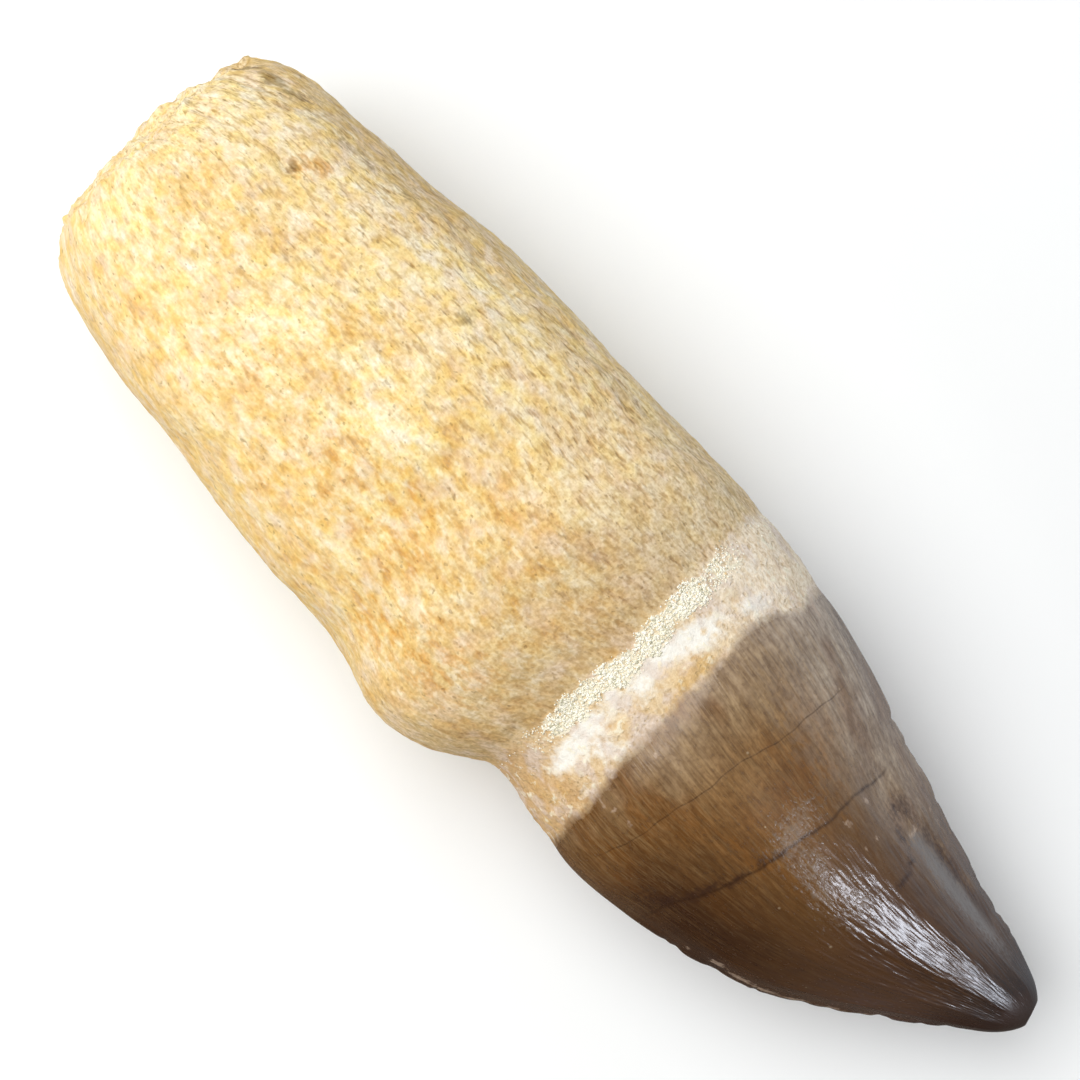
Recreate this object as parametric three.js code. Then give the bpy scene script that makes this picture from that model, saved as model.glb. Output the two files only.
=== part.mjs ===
// A fossil mosasaur tooth with its root, lying on its side. Millimetres, +Z up.
//
// The tooth is one piece of mineralised bone and dentine: a barrel-shaped root broken off at its
// far end, a narrow neck with a gritty band in it, and an enamel crown that leans to +Y and ends
// in a worn tip. +X runs from the root's broken end to the crown's tip. The origin is the centre
// of the bounding box, on the surface that the tooth rests on.

import * as THREE from "three";
import { mergeVertices } from "three/addons/utils/BufferGeometryUtils.js";

const { smoothstep, degToRad, euclideanModulo } = THREE.MathUtils;

// Driving dimensions. Stations along the tooth are counted from the middle of the broken end.
const toothLength = 135.5;
const rimAt = 3; // rim of the broken end
const neckAt = 75.8; // the narrowest station of the neck
const gritAt = 76.7; // middle of the gritty band
const gritHeight = 0.35;
const enamelAt = 86; // where the enamel starts
const enamelStep = 0.3; // how far its edge stands over the neck
const enamelBay = 2.4; // how much further back the enamel starts on top
const carinaAt = 90; // where the crown's two cutting edges start to rise
const tipRound = 4.5; // length over which the worn tip closes
const restHeight = 0; // the tooth rests on two flats at this height
const segmentsAround = 72;

// The outline at each station: -Y side, +Y side, underside, upper side, and how square the
// section is (2 is an ellipse). Heights count from the resting surface.
const outline = [
  // station, -Y, +Y, low, high, squareness
  [rimAt, -15.2, 14.2, 4.6, 30.2, 2.3],
  [5, -16.6, 15.5, 2.9, 32.0, 2.4],
  [9, -18.2, 16.6, 1.2, 33.8, 2.5],
  [14, -19.1, 17.2, 0.0, 35.0, 2.6],
  [21, -20.0, 17.9, -0.6, 35.8, 2.6],
  [33, -21.4, 19.0, 0.2, 36.8, 2.6],
  [45, -22.7, 19.9, 0.6, 37.4, 2.6],
  [54, -22.3, 19.8, 0.1, 37.2, 2.6],
  [62.5, -24.4, 19.7, -0.7, 37.6, 2.5],
  [69, -23.0, 19.7, 0.2, 36.6, 2.4],
  [neckAt, -19.3, 19.4, 2.6, 34.2, 2.3],
  [81, -20.2, 19.4, 2.3, 34.6, 2.2],
  [enamelAt, -20.7, 18.4, 2.4, 34.4, 2.1],
  [91, -20.8, 17.4, 2.7, 33.8, 2.0],
  [97, -19.6, 15.7, 3.2, 32.7, 1.95],
  [104, -18.6, 13.7, 4.2, 30.6, 1.9],
  [111, -16.3, 11.8, 5.7, 27.8, 1.9],
  [118, -12.1, 9.9, 7.6, 24.5, 1.9],
  [125, -6.9, 8.2, 9.8, 21.0, 1.95],
  [131, -2.6, 7.0, 11.4, 18.0, 2.0],
  [toothLength, 0.0, 6.2, 12.0, 16.0, 2.0],
];
const sectionAt = new THREE.CubicInterpolant(
  outline.map(([station]) => station),
  outline.flatMap((row) => row.slice(1)),
  outline[0].length - 1,
);

// The broken end stands out in a low dome, with its rings closing in to the middle.
const breakDome = 3;
const breakFills = [0, 0.2, 0.4, 0.58, 0.74, 0.87, 0.96];

// Stretches of rings between the broken rim and the tip, and how far apart the rings stand.
const ringStretches = [
  { from: rimAt, to: 9, step: 1.5 },
  { from: 9, to: 72, step: 3 },
  { from: 72, to: carinaAt, step: 1.5 }, // neck, gritty band and the enamel's edge
  { from: carinaAt, to: toothLength - tipRound, step: 2.41 },
];
const tipShares = [0, 0.3, 0.55, 0.75, 0.9, 0.975, 1]; // rings over the rounding of the tip
const tipFullness = 2.2; // 2 closes the tip in a half ellipse, more makes it blunter

// Slow waves over the root, which make it uneven: cycles per 100 mm, lobes around, phase, height.
const rootWaves = [
  [1.3, 2, 0.4, 0.16],
  [2.1, 3, 1.9, 0.16],
  [3.4, 1, 4.1, 0.1],
  [4.3, 4, 2.7, 0.12],
  [6.2, 2, 5.2, 0.08],
  [7.9, 5, 0.9, 0.1],
  [1.1, 9, 3.3, 0.12],
  [2.4, 13, 1.2, 0.1],
];

// Single dents (-) and swellings (+). Angles are 0 at +Y and 90 on top, here and below.
const features = [
  { station: 2, angle: 68, length: 4, width: 5, height: -1.3 }, // chip out of the broken rim
  { station: 5, angle: 42, length: 6, width: 4, height: -0.9 },
  { station: 15, angle: 57, length: 4, width: 3, height: -0.5 },
  { station: 30, angle: 120, length: 9, width: 8, height: 0.4 },
  { station: 44, angle: 55, length: 9, width: 7, height: 0.45 },
  { station: 55, angle: 150, length: 7, width: 7, height: -0.5 },
  { station: 62, angle: 168, length: 6, width: 9, height: 0.5 }, // swelling above the neck
  { station: 12, angle: 215, length: 9, width: 8, height: -0.7 },
  { station: 35, angle: 235, length: 9, width: 6, height: -0.8 },
  { station: 50, angle: 300, length: 10, width: 7, height: -0.8 },
  { station: 26, angle: 318, length: 7, width: 8, height: 0.5 },
  { station: 66, angle: 330, length: 6, width: 8, height: 0.6 },
  { station: 103, angle: 118, length: 5, width: 5, height: -0.3 }, // shallow hollows in the enamel
  { station: 99, angle: 250, length: 5, width: 6, height: -0.35 },
];

// Cutting edges of the crown with the chips in them, and the flutes that run along beside them.
const carinaHeight = 0.8;
const carinaWidth = 5; // degrees
const chipLength = 1.6;
const carinae = [
  {
    angle: 0,
    chips: [
      { station: 113, depth: 0.5 },
      { station: 121, depth: 0.5 },
    ],
  },
  {
    angle: 175,
    chips: [
      { station: 101, depth: 0.5 },
      { station: 108, depth: 0.6 },
      { station: 116, depth: 0.4 },
    ],
  },
];
const flutes = [
  // width in degrees; a depth below 0 is a ridge between two flutes
  { angle: 32, depth: 0.85, from: 96, to: 128, width: 15 },
  { angle: 62, depth: -0.35, from: 98, to: 128, width: 9 },
  { angle: 138, depth: 0.35, from: 100, to: 124, width: 13 },
  { angle: 218, depth: 0.5, from: 96, to: 126, width: 14 },
  { angle: 262, depth: -0.3, from: 96, to: 126, width: 12 },
  { angle: 318, depth: 0.6, from: 96, to: 128, width: 14 },
];

const hill = (distance, width) => Math.exp(-((distance / width) ** 2));
const wave = (degrees) => Math.sin(degToRad(degrees));
const degreesBetween = (a, b) => euclideanModulo(a - b + 180, 360) - 180;

function rootRelief(station, angle) {
  let height = 0;
  for (const [cycles, lobes, phase, size] of rootWaves) {
    const along = (2 * Math.PI * cycles * station) / 100;
    height += size * Math.cos(along + lobes * degToRad(angle) + phase);
  }
  return height * (1 - smoothstep(station, neckAt - 8, enamelAt));
}

function featureRelief(station, angle, radius) {
  let height = 0;
  for (const feature of features) {
    const across = degToRad(degreesBetween(angle, feature.angle)) * radius;
    height += feature.height * hill(station - feature.station, feature.length) * hill(across, feature.width);
  }
  return height;
}

// The gritty band stands out of the neck, and the enamel's edge is a small step. Both wander a
// little along the tooth on their way round it.
function neckRelief(station, angle) {
  const wander = 0.7 * wave(3 * angle + 40) + 0.4 * wave(7 * angle);
  const grit = gritHeight * hill(station - gritAt - 0.4 * wander, 1.5);
  const edge = enamelAt + 0.6 * wander - enamelBay * Math.exp(-((degreesBetween(angle, 82) / 52) ** 2));
  const step = enamelStep * smoothstep(station, edge - 0.8, edge + 1.4);
  return grit + step * (1 - smoothstep(station, enamelAt + 4, enamelAt + 14));
}

function carinaRelief(station, angle) {
  const present = smoothstep(station, carinaAt, carinaAt + 9) * (1 - smoothstep(station, 126, 132));
  let height = 0;
  for (const carina of carinae) {
    let crest = carinaHeight;
    for (const chip of carina.chips) crest -= chip.depth * hill(station - chip.station, chipLength);
    height += crest * Math.exp(-Math.abs(degreesBetween(angle, carina.angle)) / carinaWidth);
  }
  return height * present;
}

function fluteRelief(station, angle) {
  let height = 0;
  for (const { angle: at, depth, from, to, width } of flutes) {
    const present = smoothstep(station, from, from + 9) * (1 - smoothstep(station, to - 6, to + 4));
    height -= depth * present * hill(degreesBetween(angle, at), width);
  }
  return height;
}

// How far a point of the break stands along the tooth, where it snapped across the grain.
function breakRoughness(y, z) {
  return 0.45 * Math.sin(0.55 * y + 1) * Math.cos(0.47 * z) + 0.25 * Math.sin(0.9 * z - 0.6 * y);
}

// Rings from the middle of the broken end to the tip. Each has its place, the station where its
// section is read, its fill, which is the share of that section that it takes, and its zone.
function makeRings() {
  const rings = [];
  for (const fill of breakFills) {
    const place = rimAt - breakDome * (1 - fill ** 2);
    rings.push({ place, station: rimAt, fill, broken: true });
  }
  for (const { from, to, step } of ringStretches)
    for (let place = from; place < to - step / 2; place += step)
      rings.push({ place, station: place, fill: 1, broken: place === rimAt });
  for (const share of tipShares) {
    const place = toothLength - tipRound * (1 - share);
    rings.push({ place, station: place, fill: Math.sqrt(1 - share ** tipFullness), broken: false });
  }
  return rings;
}

// The point of a ring at an angle: a squarish ellipse with the relief on it.
function surfacePoint({ place, station, fill, broken }, angle) {
  const [minusY, plusY, low, high, square] = sectionAt.evaluate(station);
  const [across, up] = [Math.cos(degToRad(angle)), Math.sin(degToRad(angle))];
  const wide = Math.abs((2 * across) / (plusY - minusY));
  const tall = Math.abs((2 * up) / (high - low));
  const radius = (wide ** square + tall ** square) ** (-1 / square);
  const relief =
    rootRelief(station, angle) +
    featureRelief(station, angle, radius) +
    neckRelief(station, angle) +
    carinaRelief(station, angle) +
    fluteRelief(station, angle);
  const reach = (radius + relief) * fill;
  const y = (minusY + plusY) / 2 + reach * across;
  const z = (low + high) / 2 + reach * up;
  const x = broken ? place + breakRoughness(y, z) : place;
  return [x, y, Math.max(z, restHeight)];
}

// A turned form whose points are then moved out to the tooth's own sections.
function makeTooth() {
  const rings = makeRings();
  const profile = rings.map(({ fill, place }) => new THREE.Vector2(fill, place));
  const turned = new THREE.LatheGeometry(profile, segmentsAround);
  const points = turned.getAttribute("position");
  for (let k = 0; k < points.count; k++) {
    const side = Math.floor(k / rings.length) % segmentsAround;
    points.setXYZ(k, ...surfacePoint(rings[k % rings.length], (360 * side) / segmentsAround));
  }
  turned.deleteAttribute("normal");
  turned.deleteAttribute("uv");
  const closed = mergeVertices(turned, 1e-4);
  closed.computeBoundingBox();
  const middle = closed.boundingBox.getCenter(new THREE.Vector3());
  closed.translate(-middle.x, -middle.y, 0);
  closed.computeVertexNormals();
  return closed;
}

const fossil = new THREE.MeshStandardMaterial({ color: "#d9b877", roughness: 0.75, metalness: 0 });

const tooth = new THREE.Mesh(makeTooth(), fossil);
tooth.name = "tooth";

const part = new THREE.Group();
part.add(tooth);

export default part;
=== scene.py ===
# A fossil mosasaur tooth lying on its side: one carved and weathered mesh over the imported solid,
# and the crust of sand grains that is cemented round its neck. Sizes are in millimetres until mm
# turns them to metres.

import math

import bpy
import numpy as np
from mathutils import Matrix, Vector, noise


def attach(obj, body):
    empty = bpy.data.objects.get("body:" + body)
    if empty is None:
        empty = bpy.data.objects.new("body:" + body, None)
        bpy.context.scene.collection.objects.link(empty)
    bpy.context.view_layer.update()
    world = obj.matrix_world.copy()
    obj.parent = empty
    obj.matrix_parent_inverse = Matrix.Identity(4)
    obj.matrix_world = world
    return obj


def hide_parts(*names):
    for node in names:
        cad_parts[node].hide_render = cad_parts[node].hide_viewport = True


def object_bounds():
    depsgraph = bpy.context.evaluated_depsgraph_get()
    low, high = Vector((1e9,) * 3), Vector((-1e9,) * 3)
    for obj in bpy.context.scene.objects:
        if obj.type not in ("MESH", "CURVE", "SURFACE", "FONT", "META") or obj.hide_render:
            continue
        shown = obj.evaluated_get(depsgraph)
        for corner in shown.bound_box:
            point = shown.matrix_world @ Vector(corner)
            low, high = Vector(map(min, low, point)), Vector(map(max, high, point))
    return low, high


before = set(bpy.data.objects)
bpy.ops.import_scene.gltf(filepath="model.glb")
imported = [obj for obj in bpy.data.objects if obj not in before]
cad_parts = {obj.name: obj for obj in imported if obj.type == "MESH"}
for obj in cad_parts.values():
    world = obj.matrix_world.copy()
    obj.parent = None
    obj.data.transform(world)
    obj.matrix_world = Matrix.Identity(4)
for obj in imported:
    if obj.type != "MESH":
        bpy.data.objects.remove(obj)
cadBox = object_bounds()
print("frame loaded", sorted(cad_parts))

mm = 0.001
tipX = cadBox[1].x  # the crown's tip, which is toothLength from the middle of the broken end
toothLength = 135.5


def selectOnly(piece):
    bpy.ops.object.select_all(action="DESELECT")
    piece.select_set(True)
    bpy.context.view_layer.objects.active = piece


def applyModifiers(piece):
    selectOnly(piece)
    for name in [modifier.name for modifier in piece.modifiers]:
        bpy.ops.object.modifier_apply(modifier=name)


def readVectors(items, what):
    flat = np.empty(len(items) * 3, np.float32)
    items.foreach_get(what, flat)
    return flat.reshape(-1, 3).astype(float)


def writePoints(mesh, points):
    mesh.vertices.foreach_set("co", points.astype(np.float32).ravel())


def smoothStep(value, low, high):
    t = np.clip((value - low) / (high - low), 0, 1)
    return t * t * (3 - 2 * t)


def hill(distance, width):
    return np.exp(-((distance / width) ** 2))


def angleBetween(a, b):
    return (a - b + 180) % 360 - 180


def waver(angle, *waves):
    # how a line wanders as it goes round the tooth: each wave's height, count and start
    return sum(height * np.sin(np.radians(count * angle + start)) for height, count, start in waves)


# A place on the tooth is a station, in mm along it from the broken end, and an angle round it, 0 at
# +Y and 90 on top, about the middle of the section at that station.
sections = {
    "apart": 3.0,
    "within": 2.2,  # points this near a section's station count as its own
    "reachPercentile": 80,
    "smoothings": 2,  # each evens out what single dents and lumps shift
}


def sectionMiddles(points):
    # for each section, its middle and how far it reaches from there, in metres
    stations = (points[:, 0] - tipX) / mm + toothLength
    at = np.arange(sections["apart"], toothLength, sections["apart"])
    rows = []
    for station in at:
        ring = points[np.abs(stations - station) < sections["within"]][:, 1:]
        middle = (ring.min(0) + ring.max(0)) / 2
        reaches = np.hypot(*(ring - middle).T)
        rows.append((*middle, np.percentile(reaches, sections["reachPercentile"])))
    rows = np.array(rows)
    for _ in range(sections["smoothings"]):
        rows[1:-1] = (rows[:-2] + 2 * rows[1:-1] + rows[2:]) / 4
    return at, rows


def placeOnTooth(points, middles):
    station = (points[:, 0] - tipX) / mm + toothLength
    y = points[:, 1] - np.interp(station, middles[0], middles[1][:, 0])
    z = points[:, 2] - np.interp(station, middles[0], middles[1][:, 1])
    angle = np.degrees(np.arctan2(z, y)) % 360
    return station, angle, np.hypot(y, z) / mm


tooth = {
    "levels": 2,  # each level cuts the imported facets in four
    "mergeWithin": 0.01,
    "quadAngle": math.radians(60),
    "floorFade": (0.0, 2.5),  # relief grows from none between these heights over the resting surface
    "gritAt": 75.8,
    "enamelAt": 84.7,
    # Where each kind of relief comes in and dies out, by station or by mm past the enamel's edge.
    "rootIn": (1.5, 5),
    "rootOut": (73, 75.5),
    "neckIn": (78, 80),
    "neckOut": (-0.6, 0.1),
    "crownIn": (0.5, 6),
    "crownOut": (126, 133),
    "brokenTo": 8,
    "brokenFacing": (0.45, 0.95),  # how squarely a face looks along -X
    # Random relief: its zone, the grain of its pattern, how far that is drawn out along the tooth,
    # and how deep it goes.
    "relief": {
        "rootLumps": ("root", 7, 1.6, 0.7),
        "rootFurrows": ("flanks", 1.1, 4.5, 0.26),
        "rootSand": ("root", 0.8, 1.7, 0.28),
        "neckCrust": ("neck", 2.0, 1, 0.4),
        "neckSand": ("neck", 0.7, 1, 0.2),
        "breakRubble": ("broken", 3.4, 1, 2.0),
        "breakSand": ("broken", 0.9, 1, 0.6),
        "crownWaves": ("crown", 5, 3, 0.3),
    },
    "reliefOctaves": 2,
    # Cracks across the crown, as angle and station along each, with how wide and deep they are.
    "cracks": [
        {
            "path": [
                (150, 89.0), (131, 89.9), (120, 90.3), (104, 90.9), (90, 91.2), (77, 92.0),
                (63, 92.8), (47, 93.3), (34, 93.6),
            ],
            "width": 0.35,
            "depth": 0.03,
        },
        {
            "path": [
                (164, 97.2), (147, 97.9), (135, 99.0), (122, 100.2), (111, 100.9), (100, 101.1),
                (87, 101.7), (74, 102.3), (61, 102.4), (44, 103.0), (28, 103.4),
            ],
            "width": 0.45,
            "depth": 0.04,
        },
        {"path": [(348, 100), (310, 98.2), (270, 99.4), (232, 97.6)], "width": 0.45, "depth": 0.22},
    ],
    "crackFade": 8,  # degrees either side of a crack's end
    "carvedFrom": 0.1,  # deeper cracks than this get finer faces near them
    "finerNearCrack": (0.9, 0.45),
    # Single pits, grooves and lumps: station, angle, half length, half width, height.
    "rootMarks": [
        (15.5, 60, 1.0, 0.8, -0.7), (5.0, 38, 2.6, 0.7, -0.7), (6.5, 33, 2.0, 0.6, -0.5),
        (40.6, 54, 0.9, 0.5, -0.4), (42.6, 56, 0.7, 0.4, -0.2), (31, 30, 5.0, 0.7, -0.4),
        (38, 35, 3.2, 0.5, -0.4), (48, 27, 4.5, 0.6, -0.4), (56, 33, 3.0, 0.5, -0.4),
        (61, 27, 3.8, 0.6, -0.45), (68, 30, 2.0, 0.5, -0.3), (6.4, 62, 3.2, 0.5, -0.35),
        (63, 150, 3.0, 1.0, 0.4), (24, 200, 5.0, 0.9, -0.5), (47, 190, 6.0, 0.8, -0.5),
        (58, 215, 4.0, 0.9, -0.5), (30, 340, 6.0, 0.9, -0.5), (52, 330, 5.0, 0.8, -0.5),
    ],
    "randomPits": {
        "seed": 5,
        "count": 380,
        "stations": (3, 74),
        "length": (0.6, 1.4),
        "width": (0.45, 0.6),
        "depth": (0.06, 0.26),
    },
    # The crown's lengthwise facets: the angle where each begins at one station, how many degrees
    # that edge turns back in a millimetre along the tooth, and how flat the facet is, below 0 where
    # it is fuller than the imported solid.
    "facets": [
        (-1, 0.6, 0.5),
        (20, 1.0, 0.9),
        (46, 0.9, 0.75),
        (64, 0.45, -0.3),
        (102, 0.7, 0.7),
        (129, 0, 0.7),
        (156, 0, 0.6),
        (188, 0, 0.7),
        (215, 0, 0.7),
        (243, 0, 0.7),
        (272, 0, 0.7),
        (300, 0, 0.7),
        (328, 0.3, 0.7),
    ],
    "facetsCountedFrom": 112,
    "facetsIn": (97, 108),
    "facetsOut": (131, 134.5),
    "carinaAngles": (0, 175),  # the crown's two cutting edges
    "finerNearCarina": {"degrees": 5, "stations": (97, 132)},
    "finerPast": 133,  # all round the tip
    "carinaNicks": {
        "seed": 11,
        "count": 24,
        "degrees": 7,
        "stations": (100, 130),
        "depth": (0.02, 0.19),
        "width": (0.3, 0.9),
    },
    # The tip's point is gone: cut across this way and this deep, with a face that bulges a little.
    "tipChip": {"way": (0.93, 0.34, 0.14), "depth": 0.45, "bulge": 0.05},
    "marginLap": 0.06,
}


def enamelMargin(angle):
    # on top the enamel starts further back, from one step on the +Y side to a long ramp on the other
    back = smoothStep(angle, 28, 48) * (1 - smoothStep(angle, 95, 178))
    bay = -2.3 * back - 0.4 * hill(angle - 55, 20) - 1.0 * hill(angleBetween(angle, 265), 25)
    return tooth["enamelAt"] + bay + waver(angle, (0.2, 11, 20), (0.12, 23, 75))


def gritMiddle(angle):
    return tooth["gritAt"] + waver(angle, (0.25, 4, 100), (0.2, 9, 0))


def crackPlace(crack, station, angle):
    # how far past a crack a point is along the tooth, and how strong the crack is at its angle
    path = sorted(crack["path"])
    middle = np.interp(angle, *zip(*path)) + waver(angle, (0.12, 11, 60), (0.05, 37, 30))
    first, last, fade = path[0][0], path[-1][0], tooth["crackFade"]
    share = smoothStep(angle, first - fade, first + fade) * (1 - smoothStep(angle, last - fade, last + fade))
    return station - middle, share


def carvedCrackDistance(station, angle):
    # to the nearest crack, with up to 3 mm more where that crack has died out
    carved = [crack for crack in tooth["cracks"] if crack["depth"] > tooth["carvedFrom"]]
    places = [crackPlace(crack, station, angle) for crack in carved]
    return np.min([np.abs(away) + 3 * (1 - share) for away, share in places], axis=0)


def marksRelief(marks, station, angle, radius):
    height = np.zeros(len(station))
    for at, turn, length, width, depth in marks:
        near = np.abs(station - at) < 3 * length
        across = np.radians(angleBetween(angle[near], turn)) * radius[near]
        height[near] += depth * hill(station[near] - at, length) * hill(across, width)
    return height


def scatteredPits():
    rules = tooth["randomPits"]
    random = np.random.default_rng(rules["seed"])
    rows = []
    for _ in range(rules["count"]):
        size = random.random() ** 2  # many small pits and few large ones
        ranges = [rules[key] for key in ("length", "width", "depth")]
        length, width, depth = (least + size * (most - least) for least, most in ranges)
        rows.append((random.uniform(*rules["stations"]), random.uniform(0, 360), length, width, -depth))
    return rows


def crackRelief(station, angle):
    height = np.zeros(len(station))
    for crack in tooth["cracks"]:
        away, share = crackPlace(crack, station, angle)
        height -= crack["depth"] * share * hill(away, crack["width"])
    return height


def facetRelief(station, angle, radius):
    # each point sinks towards the straight line between the facet edges on either side of it
    facets = tooth["facets"]
    height = np.zeros(len(station))
    past = station - tooth["facetsCountedFrom"]
    for k, (edge, drift, flatness) in enumerate(facets):
        nextEdge, nextDrift, _ = facets[(k + 1) % len(facets)]
        low = edge - drift * past
        width = (nextEdge - nextDrift * past - low) % 360
        turn = (angle - low) % 360
        half = np.radians(width) / 2
        chord = radius * np.cos(half) / np.cos(np.radians(turn) - half)
        height += np.where(turn < width, flatness * (chord - radius), 0)
    present = smoothStep(station, *tooth["facetsIn"])
    return height * present * (1 - smoothStep(station, *tooth["facetsOut"]))


def nickRelief(station, angle):
    nicks = tooth["carinaNicks"]
    random = np.random.default_rng(nicks["seed"])
    height = np.zeros(len(station))
    for turn in tooth["carinaAngles"]:
        onEdge = hill(angleBetween(angle, turn), nicks["degrees"])
        for _ in range(nicks["count"]):
            at, depth, width = (random.uniform(*nicks[key]) for key in ("stations", "depth", "width"))
            height -= depth * onEdge * hill(station - at, width)
    return height


def chipTip(points):
    # lays what is past the cut almost flat on it
    chip = tooth["tipChip"]
    way = np.array(chip["way"]) / np.linalg.norm(chip["way"])
    reach = points @ way / mm
    past = reach - (reach.max() - chip["depth"])
    inward = np.where(past > 0, past * (1 - chip["bulge"]), 0)
    return points - inward[:, None] * way * mm


def marginRelief(station, angle):
    # chalky crust stands a little proud of the neck, and the enamel laps over it
    past = station - enamelMargin(angle)
    lap = tooth["marginLap"] * smoothStep(past, -0.4, 0.5) * (1 - smoothStep(past, 1, 7))
    gap = tooth["marginLap"] * hill(past + 0.4, 0.6)
    return lap - gap


def addZone(piece, name, weights):
    # in twentieths, so that each strength is laid on in one go
    group = piece.vertex_groups.new(name=name)
    steps = np.round(np.clip(weights, 0, 1) * 20).astype(int)
    for step in range(1, 21):
        members = np.flatnonzero(steps == step)
        if len(members):
            group.add(members.tolist(), step / 20, "REPLACE")


def addRelief(piece, name, zone, grain, drawnOut, depth):
    texture = bpy.data.textures.new(name, "CLOUDS")
    texture.noise_scale = grain * mm
    texture.noise_depth = tooth["reliefOctaves"]
    guide = bpy.data.objects.new(name + "Guide", None)
    bpy.context.scene.collection.objects.link(guide)
    guide.scale = (drawnOut, 1, 1)
    modifier = piece.modifiers.new(name, "DISPLACE")
    modifier.texture = texture
    modifier.texture_coords = "OBJECT"
    modifier.texture_coords_object = guide
    modifier.vertex_group = zone
    modifier.strength = depth * mm
    modifier.mid_level = 0.5
    return guide


def copyOfNode(nodeName, pieceName):
    piece = bpy.data.objects.new(pieceName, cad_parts[nodeName].data.copy())
    bpy.context.scene.collection.objects.link(piece)
    piece.data.materials.clear()
    selectOnly(piece)
    bpy.ops.object.mode_set(mode="EDIT")
    bpy.ops.mesh.select_all(action="SELECT")
    bpy.ops.mesh.remove_doubles(threshold=tooth["mergeWithin"] * mm)
    angle = tooth["quadAngle"]
    bpy.ops.mesh.tris_convert_to_quads(face_threshold=angle, shape_threshold=angle)
    bpy.ops.object.mode_set(mode="OBJECT")
    bpy.ops.mesh.customdata_custom_splitnormals_clear()
    return piece


def refineFaces(piece, middles, isNear):
    # cuts in four the faces whose middles isNear picks
    selectOnly(piece)
    station, angle, _ = placeOnTooth(readVectors(piece.data.polygons, "center"), middles)
    bpy.ops.object.mode_set(mode="EDIT")
    bpy.ops.mesh.select_mode(type="FACE")
    bpy.ops.mesh.select_all(action="DESELECT")
    bpy.ops.object.mode_set(mode="OBJECT")
    piece.data.polygons.foreach_set("select", isNear(station, angle))
    bpy.ops.object.mode_set(mode="EDIT")
    bpy.ops.mesh.subdivide(number_cuts=1, smoothness=0)
    bpy.ops.object.mode_set(mode="OBJECT")


def onCarinaOrTip(station, angle):
    finer = tooth["finerNearCarina"]
    low, high = finer["stations"]
    near = [np.abs(angleBetween(angle, turn)) < finer["degrees"] for turn in tooth["carinaAngles"]]
    return np.any(near, axis=0) & (station > low) & (station < high) | (station > tooth["finerPast"])


def carveTooth():
    piece = copyOfNode("tooth", "fossilTooth")
    subdivision = piece.modifiers.new("smoothFacets", "SUBSURF")
    subdivision.levels = subdivision.render_levels = tooth["levels"]
    applyModifiers(piece)
    middles = sectionMiddles(readVectors(piece.data.vertices, "co"))

    refineFaces(piece, middles, onCarinaOrTip)
    for reach in tooth["finerNearCrack"]:
        refineFaces(piece, middles, lambda station, angle: carvedCrackDistance(station, angle) < reach)
    print("tooth faces", len(piece.data.polygons))

    points = readVectors(piece.data.vertices, "co")
    station, angle, radius = placeOnTooth(points, middles)
    outwards = readVectors(piece.data.vertex_normals, "vector")
    offFloor = smoothStep(points[:, 2] / mm, *tooth["floorFade"])
    onRoot = smoothStep(station, *tooth["rootIn"]) * (1 - smoothStep(station, *tooth["rootOut"]))
    past = station - enamelMargin(angle)
    onNeck = smoothStep(station, *tooth["neckIn"]) * (1 - smoothStep(past, *tooth["neckOut"]))
    flank = 0.25 + 0.75 * np.abs(np.cos(np.radians(angle))) ** 2  # furrows are faint on top and below
    onBreak = smoothStep(-outwards[:, 0], *tooth["brokenFacing"]) * (station < tooth["brokenTo"])
    onCrown = smoothStep(past, *tooth["crownIn"]) * (1 - smoothStep(station, *tooth["crownOut"]))
    addZone(piece, "root", onRoot * offFloor)
    addZone(piece, "flanks", onRoot * offFloor * flank)
    addZone(piece, "neck", onNeck * offFloor)
    addZone(piece, "broken", onBreak)
    addZone(piece, "crown", onCrown)

    height = marksRelief(tooth["rootMarks"] + scatteredPits(), station, angle, radius)
    height += crackRelief(station, angle) + facetRelief(station, angle, radius)
    height += nickRelief(station, angle) + marginRelief(station, angle)
    points += outwards * (height * offFloor * mm)[:, None]
    writePoints(piece.data, chipTip(points))
    piece.data.update()

    guides = [addRelief(piece, name, *row) for name, row in tooth["relief"].items()]
    applyModifiers(piece)
    for guide in guides:
        bpy.data.objects.remove(guide)
    points = readVectors(piece.data.vertices, "co")
    points[:, 2] = np.maximum(points[:, 2], 0)
    writePoints(piece.data, points)
    piece.vertex_groups.clear()

    storePlaces(piece, middles)
    selectOnly(piece)
    bpy.ops.object.shade_smooth()
    return piece


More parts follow.
